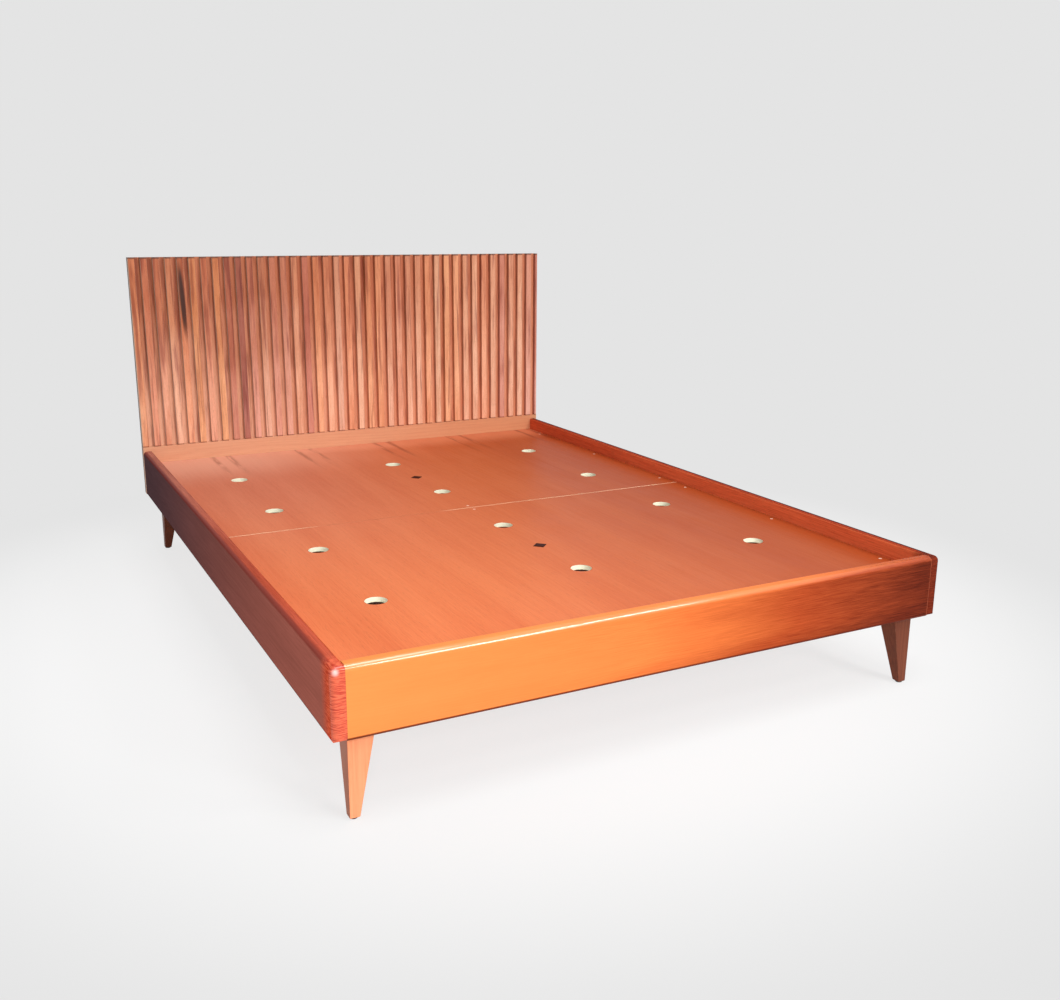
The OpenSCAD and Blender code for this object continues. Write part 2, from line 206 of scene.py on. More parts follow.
def noise(tree, vector, scale, detail, roughness=0.5):
    """A soft random value from 0 to 1."""
    inputs = {"Vector": vector, "Scale": scale, "Detail": detail, "Roughness": roughness}
    return put(tree, "TexNoise", inputs).outputs["Fac"]


def stretched(tree, vector, scale):
    """A vector scaled along each axis, so that a pattern on it is drawn out or squeezed."""
    return put(tree, "Mapping", {"Vector": vector, "Scale": scale}).outputs[0]


print("for masks:", ", ".join(helper.__name__ for helper in (fade, near_value, noise, stretched)))

# %% [markdown]
# ## Shared effects as node groups
#
# Every board here needs grain, so the grain is built once, as a node group with named inputs and
# outputs, and each material feeds it its own colours. `new_group` makes the empty group with its
# sockets.

# %% A helper for groups
SOCKETS = {"colour": "NodeSocketColor", "value": "NodeSocketFloat", "vector": "NodeSocketVector"}


def new_group(name, takes, gives):
    """An empty group; returns its tree, the sockets that it takes and those that it gives."""
    tree = bpy.data.node_groups.new(name, "ShaderNodeTree")
    for label, kind, start in takes:
        socket = tree.interface.new_socket(label, in_out="INPUT", socket_type=SOCKETS[kind])
        if start is not None:
            socket.default_value = start
    for label, kind in gives:
        tree.interface.new_socket(label, in_out="OUTPUT", socket_type=SOCKETS[kind])
    takes_node = tree.nodes.new("NodeGroupInput")
    gives_node = tree.nodes.new("NodeGroupOutput")
    return tree, takes_node.outputs, gives_node.inputs


print("socket kinds:", ", ".join(SOCKETS))

# %% [markdown]
# ### Grain
#
# A board is cut from a trunk, so its lines are growth rings that run almost straight along it and
# bend into flames where the cut meets them at a slant. Four layers show this. Rings are a value
# across the board, pushed about by a slow noise and folded to and fro. Fibres are a fine noise
# pulled long along the board. Patches are a slow change of tone. Pores are short dark dashes, which
# some woods show and others hardly do. The group expects its vector with the grain along X, in
# metres.

# %% The grain group
def ring_lines(tree, vector, slow, rings):
    """Growth rings: a place across the board, bent by a slow noise and folded to and fro."""
    across = put(tree, "SeparateXYZ", {0: vector}).outputs
    side = maths(tree, "MULTIPLY_ADD", across["Z"], 0.62, across["Y"])
    bent = maths(tree, "MULTIPLY_ADD", noise(tree, slow, 5.0, 2.0), 0.22, side)
    folded = maths(tree, "PINGPONG", maths(tree, "MULTIPLY", bent, rings), 0.5)
    return maths(tree, "MULTIPLY_ADD", folded, 2.0, -0.5)


def build_board_grain():
    tree, takes, gives = new_group(
        "Board Grain",
        [
            ("Vector", "vector", None),
            ("Pale", "colour", (0.8, 0.5, 0.3, 1)),
            ("Dark", "colour", (0.5, 0.2, 0.1, 1)),
            ("Rings", "value", 40.0),
            ("Figure", "value", 0.5),
            ("Fibre", "value", 0.5),
            ("Patches", "value", 0.5),
            ("Pores", "value", 0.16),
        ],
        [("Color", "colour"), ("Pattern", "value"), ("Height", "value")],
    )

    slow = stretched(tree, takes["Vector"], (0.09, 1, 1))
    rings = ring_lines(tree, takes["Vector"], slow, takes["Rings"])
    long_way = stretched(tree, takes["Vector"], (0.022, 1, 1))
    fibre = noise(tree, long_way, 330.0, 4.0, 0.65)
    fibre = maths(tree, "SUBTRACT", fibre, 0.5)
    patch = noise(tree, slow, 11.0, 3.0, 0.6)
    patch = maths(tree, "SUBTRACT", patch, 0.5)

    pattern = maths(tree, "MULTIPLY_ADD", rings, takes["Figure"], 0.5)
    fibre_share = maths(tree, "MULTIPLY", takes["Fibre"], 2.4)
    pattern = maths(tree, "MULTIPLY_ADD", fibre, fibre_share, pattern)
    patch_share = maths(tree, "MULTIPLY", takes["Patches"], 2.6)
    pattern = maths(tree, "MULTIPLY_ADD", patch, patch_share, pattern, clamp=True)

    short = stretched(tree, takes["Vector"], (0.07, 1, 1))
    pores = noise(tree, short, 620.0, 1.0)
    pores = fade(tree, pores, 0.60, 0.68)
    colour = mix(tree, pattern, takes["Pale"], takes["Dark"])
    shade = maths(tree, "SUBTRACT", 1.0, maths(tree, "MULTIPLY", pores, takes["Pores"]))
    shade_colour = put(tree, "CombineColor", {0: shade, 1: shade, 2: shade}).outputs[0]
    tree.links.new(tinted(tree, colour, shade_colour), gives["Color"])
    tree.links.new(pattern, gives["Pattern"])
    height = maths(tree, "MULTIPLY_ADD", pores, -0.6, maths(tree, "MULTIPLY", fibre, 0.8))
    tree.links.new(height, gives["Height"])
    return tree


board_grain = build_board_grain()
print("grain group has", len(board_grain.nodes), "nodes")

# %% [markdown]
# ### Handled edges
#
# Lacquer wears first where hands, sheets and brooms touch: on the edges. Blender's Bevel node
# looks round each point for a corner and returns the normal that a rounded edge would have. Where
# it differs from the surface's own normal there is an edge, and the difference is the mask. The
# rounded normal is passed on too, because no real board has an edge as sharp as a drawing's.

# %% The edge group
def build_handled_edges():
    tree, takes, gives = new_group(
        "Handled Edges",
        [("Vector", "vector", None), ("Wear", "value", 0.5)],
        [("Edge", "value"), ("Normal", "vector")],
    )
    rounded = put(tree, "Bevel", {"Radius": 0.0022}, samples=4).outputs[0]
    flat = put(tree, "NewGeometry").outputs["Normal"]
    dot = put(tree, "VectorMath", {0: rounded, 1: flat}, operation="DOT_PRODUCT")
    edge = fade(tree, maths(tree, "SUBTRACT", 1.0, dot.outputs["Value"]), 0.01, 0.16)
    uneven = noise(tree, takes["Vector"], 55.0, 3.0)
    uneven = fade(tree, uneven, 0.40, 0.62)
    worn = maths(tree, "MULTIPLY", maths(tree, "MULTIPLY", edge, uneven), takes["Wear"])
    tree.links.new(worn, gives["Edge"])
    tree.links.new(rounded, gives["Normal"])
    return tree


handled_edges = build_handled_edges()
print("edge group has", len(handled_edges.nodes), "nodes")

# %% [markdown]
# ### Lacquer
#
# A lacquered surface isn't evenly glossy. It has faint marks of the brush along the board, and
# places that were wiped or leaned on. This group gives a roughness that changes a little, and a
# height for the brush marks.

# %% The lacquer group
def build_lacquer():
    tree, takes, gives = new_group(
        "Brushed Lacquer",
        [("Vector", "vector", None), ("Roughness", "value", 0.4), ("Change", "value", 0.1)],
        [("Roughness", "value"), ("Height", "value")],
    )
    smears = noise(tree, takes["Vector"], 7.0, 4.0)
    brush_way = stretched(tree, takes["Vector"], (0.03, 1, 1))
    marks = noise(tree, brush_way, 120.0, 2.0)
    both = maths(tree, "SUBTRACT", maths(tree, "ADD", smears, marks), 1.0)
    swing = maths(tree, "MULTIPLY", both, maths(tree, "MULTIPLY", takes["Change"], 2.0))
    tree.links.new(maths(tree, "ADD", takes["Roughness"], swing, clamp=True), gives["Roughness"])
    tree.links.new(marks, gives["Height"])
    return tree


brushed_lacquer = build_lacquer()
print("lacquer group has", len(brushed_lacquer.nodes), "nodes")

# %% [markdown]
# ## One way to start every wooden finish
#
# Each wooden material begins the same: take the object's coordinates, turn them so that the grain
# runs along X, and feed the grain group. `start_wood` does that and returns what the next steps
# change.

# %% Start a wooden finish
GRAIN_ORDER = {"x": ("X", "Y", "Z"), "y": ("Y", "X", "Z"), "z": ("Z", "X", "Y")}


def empty_material(name):
    """A new material and its shader tree, with no nodes yet."""
    material = bpy.data.materials.new(name)
    material.use_nodes = True
    material.node_tree.nodes.clear()
    return material, material.node_tree


def place_of(tree):
    """The point on the object, in metres, as one vector and as X, Y and Z."""
    vector = put(tree, "TexCoord").outputs["Object"]
    return vector, put(tree, "SeparateXYZ", {0: vector}).outputs


def start_wood(name, along, grain_inputs):
    """A new material with a grain that runs along the given axis."""
    material, tree = empty_material(name)
    vector, xyz = place_of(tree)
    first, second, third = GRAIN_ORDER[along]
    turned = put(tree, "CombineXYZ", {0: xyz[first], 1: xyz[second], 2: xyz[third]}).outputs[0]
    grain = put(tree, "Group", {"Vector": turned, **grain_inputs}, node_tree=board_grain)
    normal = put(tree, "NewGeometry").outputs["True Normal"]
    facing = put(tree, "SeparateXYZ", {0: normal}).outputs
    return {
        "material": material, "tree": tree, "vector": vector, "xyz": xyz, "facing": facing,
        "turned": turned, "grain": grain, "colour": grain.outputs["Color"],
    }


print("grain can run along", ", ".join(GRAIN_ORDER))

# %% [markdown]
# What a board has for itself, such as raw end grain or a dark streak, is blended over the grain
# with `lay_over`. At the end `finish_wood` joins colour, edges and lacquer to the shader.

# %% Lay over and finish a wood
def lay_over(wood, share, colour):
    """Blends a colour over what the wood has so far, by a share from 0 to 1."""
    wood["colour"] = mix(wood["tree"], share, wood["colour"], colour)


def finish_wood(wood, roughness=0.42, change=0.1, gloss=0.3, coat=0.0, wear=0.5, bump=0.35,
                worn=(1.0, 0.72, 0.50, 1.0)):
    """Joins colour, handled edges, lacquer and bump to the shader."""
    tree = wood["tree"]
    edges = put(tree, "Group", {"Vector": wood["vector"], "Wear": wear}, node_tree=handled_edges)
    worn_share = maths(tree, "MULTIPLY", edges.outputs["Edge"], 0.45)
    colour = mix(tree, worn_share, wood["colour"], worn)

    lacquer = put(
        tree, "Group", {"Vector": wood["turned"], "Roughness": roughness, "Change": change},
        node_tree=brushed_lacquer,
    )
    rough = maths(tree, "MULTIPLY_ADD", edges.outputs["Edge"], 0.2, lacquer.outputs["Roughness"])

    brushed = lacquer.outputs["Height"]
    height = maths(tree, "MULTIPLY_ADD", brushed, 0.35, wood["grain"].outputs["Height"])
    relief = put(tree, "Bump", {
        "Strength": bump, "Distance": 0.0004, "Height": height, "Normal": edges.outputs["Normal"],
    })
    shader = put(tree, "BsdfPrincipled", {
        "Base Color": colour, "Roughness": rough, "Normal": relief.outputs[0],
        "Specular IOR Level": gloss, "Coat Weight": coat, "Coat Roughness": 0.13, "Coat IOR": 1.8,
    })
    put(tree, "OutputMaterial", {"Surface": shader.outputs[0]})
    return wood["material"]


print("made the helpers", lay_over.__name__, "and", finish_wood.__name__)

# %% [markdown]
# ## Side rails
#
# The two long rails are the darkest boards of the bed: red-brown under lacquer, with the grain
# along the bed. The left one turns greyer and pinker towards the head, a painted sheen. The right
# one is the brighter of the two, its inner face with painted light that grows towards the foot,
# and its top is painted darker as painted shade. Each colour is blended along the bed first, and
# then from left to right.

# %% Colours of the side rails
rail = start_wood("rail_wood", "y", {"Rings": 210.0, "Figure": 0.16, "Fibre": 0.85, "Patches": 0.5})
tree = rail["tree"]
on_right = fade(tree, rail["xyz"]["X"], -0.5, 0.5)
to_head = fade(tree, rail["xyz"]["Y"], -0.9, 0.9)
looks_up = fade(tree, rail["facing"]["Z"], 0.4, 0.9)
on_right_top = maths(tree, "MULTIPLY", looks_up, on_right)

# Painted sheen at the left head, painted light at the inner foot, painted shade on the right top.
left_pale = mix(tree, to_head, paint(204, 88, 58), paint(196, 122, 104))
left_dark = mix(tree, to_head, paint(166, 62, 40), paint(156, 92, 80))
inner_pale = mix(tree, to_head, paint(252, 132, 84), paint(230, 113, 72))
inner_dark = mix(tree, to_head, paint(216, 98, 60), paint(194, 84, 52))
right_pale = mix(tree, on_right_top, inner_pale, paint(186, 72, 42))
right_dark = mix(tree, on_right_top, inner_dark, paint(142, 52, 30))
feed(tree, rail["grain"], {
    "Pale": mix(tree, on_right, left_pale, right_pale),
    "Dark": mix(tree, on_right, left_dark, right_dark),
})
print("rail colours blend from foot to head and from left to right")

# %% [markdown]
# ### Painted shade on the side rails
#
# The outer faces are painted darker than the tops and the inner faces, as painted shade, darkest
# towards the head. A face looks outwards where its normal and its place point to the same side, so
# the product of the two is the mask. The rounding between outer face and top is painted a deep red
# as painted shade, and so is a dark band along the right rail's far top edge. Along the lower edges
# runs a thin dark line.

# %% Paint shade on the outer faces and the edges
side_sign = maths(tree, "SIGN", rail["xyz"]["X"])
outward = maths(tree, "MULTIPLY", rail["facing"]["X"], side_sign)
outer_face = fade(tree, outward, 0.35, 0.95)
# Painted shade: the outer faces darken from the foot towards the head.
stain = mix(tree, fade(tree, rail["xyz"]["Y"], -1.1, 1.0), paint(174, 100, 86), paint(94, 68, 72))
deeper = maths(tree, "MULTIPLY_ADD", rail["grain"].outputs["Pattern"], -0.3, 1.15)
lay_over(rail, outer_face, scaled(tree, stain, deeper))

# Painted shade on the rounding between outer face and top.
outer_side = fade(tree, outward, 0.1, 0.5)
upper_side = fade(tree, rail["facing"]["Z"], 0.1, 0.5, 0.0, 0.7)
lay_over(rail, maths(tree, "MULTIPLY", outer_side, upper_side), paint(134, 46, 36))

# Painted shade along the right rail's far top edge.
far_edge_shade = fade(tree, rail["xyz"]["X"], rail_hi.x - 0.020, rail_hi.x - 0.013, 0.0, 0.95)
lay_over(rail, maths(tree, "MULTIPLY", far_edge_shade, looks_up), paint(72, 36, 36))

rail_lower_line = fade(tree, rail["xyz"]["Z"], rail_lo.z + 0.003, rail_lo.z + 0.006, 0.8, 0.0)
lay_over(rail, rail_lower_line, paint(70, 34, 30))
print("outer faces are stained deeper")

# %% [markdown]
# ### End grain of the side rails
#
# The rails run past the foot rail, so their rounded ends show at the foot corners. End grain
# drinks more stain and shows the rings edge on, as short fine streaks across, and the stain has
# crept a little way along the faces. The left end is coral. The right end is painted a deep
# brown-red, as painted shade where less light reaches.

# %% End grain of the side rails
CREEP = 0.070
end_face = fade(tree, maths(tree, "ABSOLUTE", rail["facing"]["Y"]), 0.02, 0.35)
crept = fade(tree, rail["xyz"]["Y"], rail_lo.y + CREEP, rail_lo.y + 0.018)
crept = maths(tree, "MAXIMUM", end_face, crept)
streak_vector = put(tree, "Mapping", {
    "Vector": rail["vector"], "Rotation": (0.0, math.radians(8), 0.0), "Scale": (0.08, 0.08, 1.0),
}).outputs[0]
streaks = fade(tree, noise(tree, streak_vector, 700.0, 3.0), 0.36, 0.64)
# Painted shade: the end grain turns darker towards the right end.
right_end = fade(tree, rail["xyz"]["X"], -0.2, 0.6)
pale_end = mix(tree, right_end, paint(240, 112, 76), paint(126, 50, 32))
dark_end = mix(tree, right_end, paint(196, 62, 40), paint(94, 36, 24))
lay_over(rail, crept, mix(tree, streaks, pale_end, dark_end))
print("the stain has crept", CREEP, "metres along the faces")

# %% [markdown]
# ### Finish of the side rails
#
# The left corner at the foot has a painted highlight: a pale spot where a lamp's glint sits. A
# ball gradient round one point draws it. The point is given from the rail's sharp outer top
# corner, and the left rail is the right one's mirror image. The lacquer is thick enough to shine
# on the left end and, faintly, on the tops, so the coat is laid only there.

# %% Paint the corner's glint and lay the lacquer
GLINT_RADIUS = 0.01
glint_place = Vector((-rail_hi.x, rail_lo.y, rail_hi.z)) + Vector((0.0086, 0.0006, -0.0106))
in_glint = put(tree, "Mapping", {"Vector": rail["vector"], "Location": -glint_place}).outputs[0]
in_glint = stretched(tree, in_glint, (1 / GLINT_RADIUS,) * 3)
painted_glint = put(tree, "TexGradient", {"Vector": in_glint}, gradient_type="SPHERICAL").outputs["Fac"]
# Painted highlight: the pale glint on the corner's ball.
lay_over(rail, fade(tree, painted_glint, 0.0, 1.0, 0.0, 0.9), paint(255, 214, 206))

left_end = maths(tree, "MULTIPLY", end_face, maths(tree, "SUBTRACT", 1.0, right_end))
left_end = maths(tree, "MULTIPLY", left_end, 0.45)
top_sheen = fade(tree, rail["xyz"]["X"], -0.5, 0.5, 0.15, 0.04)
top_sheen = maths(tree, "MULTIPLY", looks_up, top_sheen)
rail_wood = finish_wood(
    rail, roughness=0.40, gloss=0.0, coat=maths(tree, "MAXIMUM", left_end, top_sheen),
    wear=0.5, worn=paint(196, 92, 62),
)
print("made", rail_wood.name, "rubbed at", [round(v, 3) for v in glint_place])

# %% [markdown]
# ## Foot rail
#
# The foot rail is a lighter board. At its left end it is nearly plain orange. Towards the right
# the tone falls to red-brown, a painted shade where less light reaches, while the horizontal
# lines of the heartwood grow strong. Faces that look up keep more of the lighter colour, a painted
# light from above, and the lowest five centimetres are a little darker. Both colours of the grain
# and the strength of its fibres are blended along X before they enter the group. The grain is
# finer than that of the other boards, so its vector is scaled up.

# %% Finish of the foot rail
foot = start_wood(
    "foot_rail_wood", "x",
    {"Rings": 80.0, "Figure": 0.14, "Patches": 0.18, "Pores": 0.04},
)
tree = foot["tree"]
wander = noise(tree, stretched(tree, foot["vector"], (0.5, 1, 3)), 4.0, 3.0)
along = maths(tree, "MULTIPLY_ADD", wander, 0.2, foot["xyz"]["X"])
# Painted light: faces that look up are shifted towards the lighter colour.
along = maths(tree, "MULTIPLY_ADD", foot["facing"]["Z"], -0.4, along)
low_down = fade(tree, foot["xyz"]["Z"], foot_lo.z, foot_lo.z + 0.05, 0.12, 0.0)
along = maths(tree, "ADD", along, low_down)
# Painted shade: the colour darkens towards the right.
shade_share = put(tree, "MapRange", {"Value": along, "From Min": -0.60, "From Max": 0.80}).outputs[0]
pale_run = ramp(tree, shade_share, [
    (0.0, paint(250, 152, 84)), (0.45, paint(248, 138, 72)),
    (0.72, paint(190, 84, 42)), (1.0, paint(120, 45, 25)),
])
dark_run = ramp(tree, shade_share, [
    (0.0, paint(240, 138, 70)), (0.45, paint(232, 116, 56)),
    (0.72, paint(152, 56, 25)), (1.0, paint(70, 22, 12)),
])
feed(tree, foot["grain"], {
    "Vector": stretched(tree, foot["turned"], (2.4, 3.2, 3.2)),
    "Fibre": maths(tree, "MULTIPLY_ADD", shade_share, 1.5, 0.2),
    "Pale": pale_run,
    "Dark": dark_run,
})
print("heartwood comes in from the right")

# %% [markdown]
# ### The polished nose
#
# Hands and knees polish the rounded top edge, and the lacquer runs thin and glossy over it. The
# coat is therefore laid only where a face looks up and forwards at once, and thinner towards the
# right, where the tone is darker. A thin dark line runs along the lower edge, and a pale line at
# the right joint is a painted highlight on the rounded corner there.

# %% Polish and finish of the foot rail
looks_up = fade(tree, foot["facing"]["Z"], 0.15, 0.5)
looks_forward = fade(tree, maths(tree, "MULTIPLY", foot["facing"]["Y"], -1.0), 0.15, 0.5)
nose = maths(tree, "MULTIPLY", looks_up, looks_forward)
nose = maths(tree, "MULTIPLY", nose, fade(tree, shade_share, 0.5, 0.9, 1.0, 0.2))

lower_edge = fade(tree, foot["xyz"]["Z"], foot_lo.z + 0.004, foot_lo.z + 0.007, 0.95, 0.0)
lay_over(foot, lower_edge, paint(104, 40, 24))
# Painted highlight: a pale line at the right end of the foot rail.
joint_highlight = near_value(tree, foot["xyz"]["X"], foot_hi.x, 0.003)
lay_over(foot, maths(tree, "MULTIPLY", joint_highlight, 0.5), paint(180, 88, 60))
foot_rail_wood = finish_wood(
    foot, roughness=0.34, gloss=0.03, coat=nose, wear=0.25, bump=0.2, worn=paint(255, 200, 140)
)
print("made", foot_rail_wood.name)

# %% [markdown]
# ## Deck panels
#
# The deck is board under an orange veneer with its grain along the bed, sealed under a satin
# lacquer. Towards the headboard the left part is painted pinker, a painted sheen. Towards the
# right it is painted browner, as painted shade. Near the headboard it is painted paler, at the
# left from farther off, another painted sheen.

# %% Colours of the deck
deck = start_wood(
    "deck_wood", "y",
    {"Rings": 60.0, "Figure": 0.10, "Fibre": 0.42, "Patches": 0.5, "Pores": 0.09},
)
tree = deck["tree"]
towards_head = fade(tree, deck["xyz"]["Y"], -0.9, 0.7)
left_part = fade(tree, deck["xyz"]["X"], -0.5, 0.35, 1.0, 0.0)
# Painted sheen: pinker towards the head at the left.
pinker_sheen = maths(tree, "MULTIPLY", towards_head, left_part)
feed(tree, deck["grain"], {
    "Pale": mix(tree, pinker_sheen, paint(240, 136, 85), paint(220, 134, 105)),
    "Dark": mix(tree, pinker_sheen, paint(222, 111, 65), paint(202, 110, 82)),
})
# Painted shade: browner towards the right.
towards_right = fade(tree, deck["xyz"]["X"], -0.5, 0.75)
toward_shade = mix(tree, towards_right, WHITE, paint(194, 166, 143))
deck["colour"] = tinted(tree, deck["colour"], toward_shade)

# Painted sheen: paler near the headboard.
sheen_left = fade(tree, deck["xyz"]["Y"], 0.55, 0.96, 0.0, 0.55)
sheen_left = maths(tree, "MULTIPLY", left_part, sheen_left)
painted_sheen = maths(tree, "MAXIMUM", sheen_left, fade(tree, deck["xyz"]["Y"], 0.80, 0.96, 0.0, 0.52))
lay_over(deck, painted_sheen, mix(tree, left_part, paint(240, 150, 110), paint(250, 194, 168)))
print("deck colours blend from foot to head and from left to right")

# %% [markdown]
# ### Dark streaks near the headboard
#
# Pairs of soft dark streaks start at the headboard and come back every 29 cm across the deck.
# The remainder of X divided by that repeat is the place within one repeat. Each streak is given
# by its middle there and by its spread to both sides.

# %% Repeated streaks near the headboard
STREAK_REPEAT = 0.29
REPEAT_START = -0.045
STREAKS = [(0.110, 0.014), (0.163, 0.016)]

from_repeat_start = maths(tree, "SUBTRACT", deck["xyz"]["X"], REPEAT_START)
in_repeat = maths(tree, "WRAP", from_repeat_start, STREAK_REPEAT, 0.0)
pair = [near_value(tree, in_repeat, middle, spread) for middle, spread in STREAKS]
streak = maths(tree, "ADD", *pair, clamp=True)
streak = maths(tree, "MULTIPLY", streak, fade(tree, deck["xyz"]["Y"], 0.62, 0.92))
ragged = noise(tree, stretched(tree, deck["vector"], (1, 0.12, 1)), 90.0, 3.0)
streak = maths(tree, "MULTIPLY", streak, fade(tree, ragged, 0.3, 0.6))
lay_over(deck, streak, tinted(tree, deck["colour"], paint(204, 190, 186)))
print("a leaf is", STREAK_REPEAT, "metres wide and has", len(STREAKS), "streaks")

# %% [markdown]
# ### The seam
#
# Round every cut the veneer's edge has browned. Along the seam between the panels the veneer is
# worn thin, and the pale board shows through in patches, though hardly left of the middle, where
# the seam is filled.

# %% Browned edges and the worn seam
SEAM_HALF = 0.0045
seam_y = (deck_hi.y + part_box("deck_panel_head")[0].y) / 2

edges = put(tree, "Group", {"Vector": deck["vector"], "Wear": 1.0}, node_tree=handled_edges)
lay_over(deck, maths(tree, "MULTIPLY", edges.outputs["Edge"], 0.8), paint(150, 84, 50))

filled = fade(tree, near_value(tree, deck["xyz"]["X"], -0.27, 0.27), 0.05, 0.35)
filled = maths(tree, "MULTIPLY", filled, 0.95)
patchy = fade(tree, noise(tree, deck["vector"], 6.0, 2.0), 0.36, 0.58, 0.35, 0.9)
thin_line = near_value(tree, deck["xyz"]["Y"], seam_y, SEAM_HALF)
thin_line = maths(tree, "MULTIPLY", thin_line, patchy)
thin_line = maths(tree, "MULTIPLY", thin_line, maths(tree, "SUBTRACT", 1.0, filled))
lay_over(deck, thin_line, paint(255, 162, 125))
print("the seam is at", round(seam_y, 4))

# %% [markdown]
# ### Cut faces
#
# Where a panel is cut, at the vent holes and at the seam, its raw core shows as cream, except
# where the seam is filled. A face that looks sideways, and not up or down, is a cut face, so the
# normal's Z gives the mask. The core has faint layers, which follow the height, and the lowest of
# them is painted dark, as painted shade where a hole looks down into the dark under the bed.

# %% The core and the finish of the deck
cut_face = fade(tree, maths(tree, "ABSOLUTE", deck["facing"]["Z"]), 0.75, 0.45)
at_seam = fade(tree, near_value(tree, deck["xyz"]["Y"], seam_y, 0.006), 0.0, 0.3)
closed = maths(tree, "MULTIPLY", at_seam, filled)
cut_face = maths(tree, "MULTIPLY", cut_face, maths(tree, "SUBTRACT", 1.0, closed))
layers = put(
    tree, "TexWave", {"Vector": deck["vector"], "Scale": 60.0, "Distortion": 0.6},
    bands_direction="Z",
).outputs["Fac"]
core = mix(tree, layers, paint(255, 254, 232), paint(255, 250, 216))
# Painted shade: the lowest few millimetres of each cut face are dark.
lowest_shade = fade(tree, deck["xyz"]["Z"], deck_lo.z + 0.0030, deck_lo.z + 0.0042, 1.0, 0.0)
lay_over(deck, cut_face, mix(tree, lowest_shade, core, paint(56, 24, 14)))
deck_wood = finish_wood(
    deck, roughness=0.42, change=0.06, gloss=0.08, wear=0.3, bump=0.15, worn=paint(255, 190, 140)
)
print("made", deck_wood.name)

# %% [markdown]
# ## Diamond caps
#
# Over the middle screw of each panel sits a small square cap, turned to a diamond and stained so
# dark that only its bevel catches light.

# %% Finish of the caps
cap = start_wood("cap_wood", "x", {
    "Pale": paint(66, 20, 12), "Dark": paint(36, 10, 6),
    "Rings": 300.0, "Figure": 0.4, "Fibre": 0.6, "Patches": 0.3,
})
cap_wood = finish_wood(cap, roughness=0.5, gloss=0.06, wear=0.6, worn=paint(120, 52, 34))
print("made", cap_wood.name)

# %% [markdown]
# ## Headboard: backing and base board
#
# The backing is one board whose front shows as the floor of every groove, paler at the left.
# Its thin top and side edges are painted dark, as painted shade. The base board under the strips
# is the lightest wood of the bed, with its grain across. Backing and strips are painted darker
# towards the top, at the left most of all, as painted shade, and have smoky streaks, most of them
# at the left. Both changes are in one helper for the two.

# %% A helper for the painted shade and the smoke
def shade_and_smoke(tree, wood, vector, top_shade_tint):
    """The colour with painted shade at the top left, and smoky streaks along the vector's X."""
    height = noise(tree, wood["vector"], 7.0, 2.0)
    height = maths(tree, "MULTIPLY_ADD", height, 0.3, wood["xyz"]["Z"])
    more_at_left = fade(tree, wood["xyz"]["X"], -0.6, 0.6, 1.12, 0.62)
    # Painted shade: darker towards the top, most at the left.
    share = maths(tree, "MULTIPLY", fade(tree, height, 0.50, 1.05), more_at_left)
    top_shaded = tinted(tree, wood["colour"], mix(tree, share, WHITE, top_shade_tint))

    smoke = noise(tree, stretched(tree, vector, (0.06, 1, 1)), 75.0, 3.0)
    smoke = maths(tree, "MULTIPLY_ADD", height, 0.12, smoke)
    smoke = maths(tree, "ADD", smoke, fade(tree, wood["xyz"]["X"], -0.7, -0.1, 0.07, 0.0))
    smoke = fade(tree, smoke, 0.62, 0.82, 0.0, 0.8)
    return mix(tree, smoke, top_shaded, tinted(tree, top_shaded, paint(188, 160, 164)))


print("made the helper", shade_and_smoke.__name__)

# %% Finish of the backing
backing = start_wood(
    "backing_wood", "z",
    {"Rings": 60.0, "Figure": 0.2, "Fibre": 0.6, "Patches": 1.2},
)
tree = backing["tree"]
at_left = fade(tree, backing["xyz"]["X"], -0.55, 0.2, 1.0, 0.0)
feed(tree, backing["grain"], {
    "Pale": mix(tree, at_left, paint(240, 170, 134), paint(244, 190, 160)),
    "Dark": mix(tree, at_left, paint(218, 142, 106), paint(226, 166, 134)),
})
backing["colour"] = shade_and_smoke(tree, backing, backing["turned"], paint(204, 170, 150))
# Painted shade: the thin top and side edges are painted dark.
rim = fade(tree, maths(tree, "ABSOLUTE", backing["facing"]["Y"]), 0.7, 0.4)
lay_over(backing, rim, paint(78, 48, 38))
backing_wood = finish_wood(backing, roughness=0.5, gloss=0.2, wear=0.4, worn=paint(240, 175, 135))
print("made", backing_wood.name)

# %% Finish of the base board
base = start_wood("base_board_wood", "x", {
    "Pale": paint(233, 177, 141), "Dark": paint(216, 151, 117),
    "Rings": 90.0, "Figure": 0.2, "Fibre": 0.5, "Patches": 0.5, "Pores": 0.05,
})
tree = base["tree"]
# Painted shade: the base board turns darker and more orange towards the right.
at_right = fade(tree, base["xyz"]["X"], -0.5, 0.7)
right_shade_tint = mix(tree, at_right, WHITE, paint(244, 230, 214))
base["colour"] = tinted(tree, base["colour"], right_shade_tint)
base_board_wood = finish_wood(base, roughness=0.46, gloss=0.2, wear=0.3, worn=paint(255, 205, 165))
print("made", base_board_wood.name)

# %% [markdown]
# ## Headboard strips
#
# The strips were sawn from offcuts, so no two neighbours match: peach, salmon, rose and
# mauve-brown stand side by side. Each strip's number comes from its X, the number drives a random
# value, and a colour ramp turns the value into a wood. The number also shifts the grain's place,
# so that no line runs on from one strip to the next, and the grain is drawn shorter than in boards.

